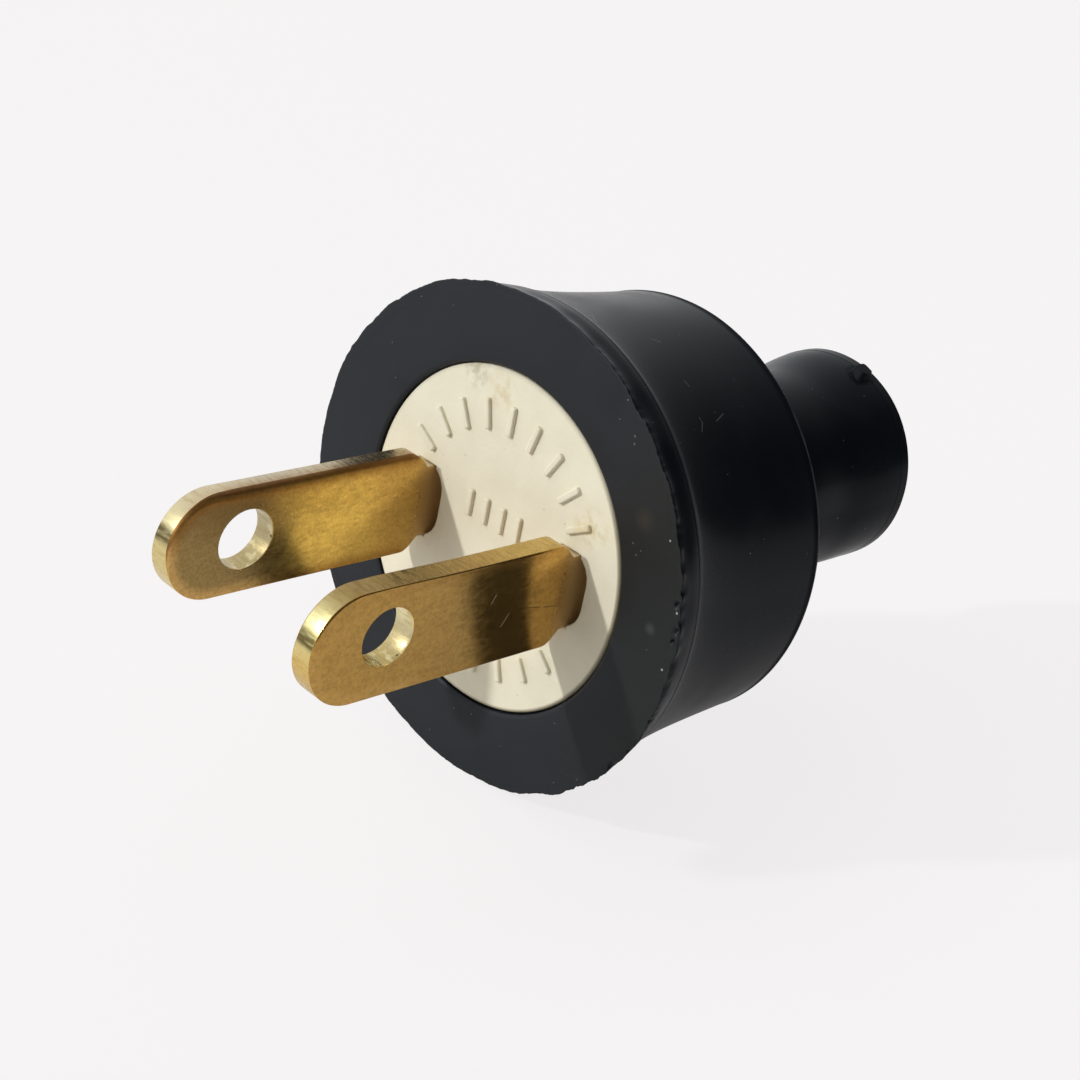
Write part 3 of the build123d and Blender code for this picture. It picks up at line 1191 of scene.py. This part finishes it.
def sheared_material(word):
    """Sheared edge of the stamped brass, streaked through its thickness, and the round hole's wall."""
    material, shader = new_material(f"brass_edge_{word}")
    place, x, y, z = millimetres(shader)
    streaks = clouds(stretched(place, (0.9, 4.0, 4.0)), 1.0, 3.0)
    behind = maths("MAXIMUM", maths("SUBTRACT", y, blade_tip_centre), 0.0)
    run = maths("ADD", z, times(maths("SIGN", z), behind))
    colour = toned(run, edge_tones[word])
    if word == "left":
        depth = maths("SUBTRACT", -blade_inner, x)
        near_side = times(ramp(depth, 0.4, 1.4, 1.0, 0.0), ramp(run, 2.0, 5.0))
        colour = shaded(near_side, colour, (0.72, 0.58, 0.42))
    flat = stretched(place, (0, 1, 1))
    # The lock hole's wall is darker at its bottom and paler at its top: painted shade and highlight
    hole = spot(flat, (0, lock_hole_y, 0), lock_hole_radius + 0.3, 0.1)
    colour = tinted(hole, colour, toned(z, hole_tones[word]))
    dirt = ramp(clouds(place, 3.2, 3.0), 0.54, 0.66)
    near_root = ramp(y, -8.0, -4.0, 0.1, root_dirt[word])
    colour = tinted(times(dirt, near_root), colour, dirt_brown)
    colour = shaded(ramp(streaks, 0.45, 0.68, 0.0, 0.45), colour, (0.74, 0.68, 0.52))
    at_tip = spot(flat, (0, blade_low.y, torn_height), 0.3, 0.45)
    torn_streaks = times(at_tip, ramp(streaks, 0.32, 0.58, 0.5, 0.95))
    colour = tinted(torn_streaks, colour, torn_brown)
    # Painted highlight: pale patches on the lock hole's wall
    highlight_patches = ramp(clouds(place, 1.6, 2.0), 0.5, 0.65, 0.0, 0.45)
    colour = tinted(times(hole, highlight_patches), colour, painted_hole_highlight)
    spots = times(specks(place, 0.7, 0.13, 0.3), times(hole, 0.85))
    colour = tinted(spots, colour, hole_dark)
    # Painted highlight: the sheared edges turn pale and less metallic at the neck
    neck = ramp(y, neck_y - 0.7, neck_y - 0.2)
    colour = tinted(neck, colour, painted_neck_highlight)
    metallic = ramp(neck, 0.0, 1.0, 1.0, 0.1)
    dullness = ramp(streaks, 0.3, 0.7, 0.2, 0.35)
    set_inputs(shader, {"Base Color": colour, "Metallic": metallic, "Roughness": dullness})
    roughen(shader, streaks, 0.012)
    return material


def steel_material():
    """Zinc-plated steel of the terminal screws."""
    material, shader = new_material("zinc_plated_steel")
    place = millimetres(shader)[0]
    bloom = clouds(place, 1.2, 4.0)
    colour = tinted(ramp(bloom, 0.35, 0.7), (0.62, 0.62, 0.60), (0.50, 0.50, 0.48))
    dullness = ramp(bloom, 0.3, 0.7, 0.25, 0.4)
    set_inputs(shader, {"Base Color": colour, "Metallic": 1.0, "Roughness": dullness})
    roughen(shader, clouds(place, 8.0, 2.0), 0.01)
    return material


def floor_material():
    """Pale floor that keeps a soft shadow of the plug."""
    material, shader = new_material("pale_floor")
    set_inputs(shader, {"Base Color": floor_colour, "Roughness": 1.0, "Specular IOR Level": 0.0})
    tree = material.node_tree
    rays = add(tree, "ShaderNodeLightPath", {}).outputs
    mirrored = maths("MAXIMUM", rays["Is Glossy Ray"], rays["Is Transmission Ray"])
    seen = times(rays["Is Camera Ray"], floor_glow)
    share = maths("MAXIMUM", seen, times(mirrored, mirrored_glow))
    glow = add(tree, "ShaderNodeEmission", {"Color": floor_colour, "Strength": glow_strength})
    both = follow("ShaderNodeMixShader", {0: share, 1: shader.outputs[0], 2: glow.outputs[0]})
    set_inputs(tree.nodes["Material Output"], {"Surface": both.outputs[0]})
    return material


# Light, with its places in metres, and camera, with its distances in millimetres
floor_size = 12.0
floor_colour = (0.930, 0.913, 0.913, 1)
floor_glow = 0.85
mirrored_glow = 0.2
glow_strength = 1.03
key_direction = Vector((-0.43, -1.0, 0.55)).normalized()
key_strength = 1.75
key_angle = radians(2.5)
sky_direction = Vector((-0.93, 0.18, 0.32)).normalized()
sky_dark = 0.1
sky_bright = 1.0
sky_turn = (-0.15, 0.95)
sky_tint = (0.97, 0.98, 1.0, 1)
fill_place = (-0.15, -0.5, 0.25)
fill_size = 0.5
fill_power = 0.7
camera_azimuth = radians(41.19)
camera_elevation = radians(24.884)
camera_roll = radians(11.664)
camera_distance = 125.4
camera_aside = -2.984
camera_above = 0.013
camera_lens = 70.05


def add_floor(height):
    mesh = bmesh.new()
    bmesh.ops.create_grid(mesh, x_segments=1, y_segments=1, size=floor_size / 2)
    floor = new_object("floor", mesh_data("floor", mesh))
    floor.data.materials.append(floor_material())
    floor.location.z = height


def add_lamp(name, kind, place, aim, **settings):
    lamp = bpy.data.lights.new(name, kind)
    for key, value in settings.items():
        setattr(lamp, key, value)
    holder = new_object(name, lamp)
    holder.location = place
    holder.rotation_euler = (Vector(aim) - Vector(place)).to_track_quat("-Z", "Y").to_euler()


def add_sky():
    """Soft room light, bright on the left and dim on the right."""
    world = bpy.data.worlds.new("sky")
    bpy.context.scene.world = world
    world.use_nodes = True
    tree = world.node_tree
    direction = add(tree, "ShaderNodeTexCoord", {}).outputs["Generated"]
    facing = vector_maths("DOT_PRODUCT", direction, sky_direction)["Value"]
    strength = ramp(facing, *sky_turn, sky_dark, sky_bright)
    set_inputs(tree.nodes["Background"], {"Strength": strength, "Color": sky_tint})


def add_camera():
    back = Vector((
        sin(camera_azimuth) * cos(camera_elevation),
        -cos(camera_azimuth) * cos(camera_elevation),
        sin(camera_elevation),
    ))
    level = Vector((cos(camera_azimuth), sin(camera_azimuth), 0))
    rise = back.cross(level)
    right = cos(camera_roll) * level + sin(camera_roll) * rise
    up = cos(camera_roll) * rise - sin(camera_roll) * level
    camera = new_object("camera", bpy.data.cameras.new("camera"))
    camera.data.lens = camera_lens
    camera.data.clip_start = 0.005
    camera.data.clip_end = 20
    place = Matrix((right, up, back)).transposed().to_4x4()
    place.translation = (back * camera_distance - right * camera_aside - up * camera_above) * MM
    camera.matrix_world = place
    bpy.context.scene.camera = camera


steel = steel_material()
build_body(barrel_material(), flange_material())
build_insert(insert_material())
for side, word in ((-1, "left"), (1, "right")):
    build_blade(word, side, [brass_material(word), sheared_material(word)])
    build_screw(f"terminal_screw_{word}", side, steel)

bpy.context.view_layer.update()
dressed_low, dressed_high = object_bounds()
add_floor(dressed_low.z)
add_sky()
add_lamp("key", "SUN", key_direction, (0, 0, 0), energy=key_strength, angle=key_angle)
add_lamp("fill", "AREA", fill_place, (0, 0, 0), energy=fill_power, size=fill_size)
add_camera()
bpy.context.scene.view_settings.view_transform = "Standard"
